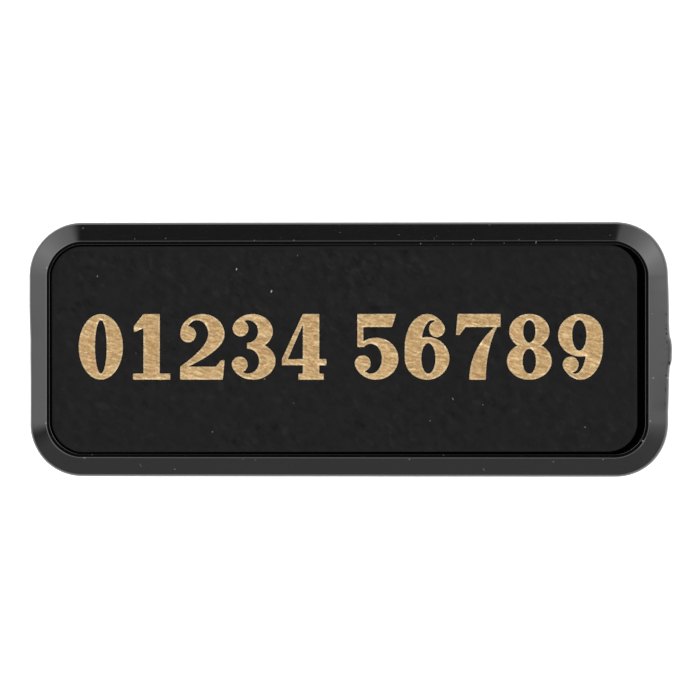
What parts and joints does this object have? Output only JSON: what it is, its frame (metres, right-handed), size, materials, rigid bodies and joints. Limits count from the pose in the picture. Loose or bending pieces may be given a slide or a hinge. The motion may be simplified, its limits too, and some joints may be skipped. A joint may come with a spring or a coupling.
{
  "type": "name badge",
  "caption": "Flat oblong name badge: a black moulded frame with a sloping border round an engraved leatherette plate, with a magnetic bar clasp on its back.",
  "frame": {"origin": "centre of the magnetic bar's flat underside, which is what the badge lies on", "axes": "+X along the badge's length towards the last numeral, +Y towards the top of the numerals, +Z out of the badge's face"},
  "size_m": [0.083, 0.0326, 0.008],
  "materials": {
    "frame_plastic": "moulded black gloss with fine scuffs",
    "gold_ply": "creased gold-tan leatherette ply, satin",
    "black_leatherette": "matt black fine leather grain",
    "clasp_plastic": "satin black moulded plastic"
  },
  "bodies": {
    "root": {"frame": "frame_plastic", "insert_core": "gold_ply", "leather_face": "black_leatherette", "magnet_bar": "clasp_plastic"}
  },
  "joints": []
}
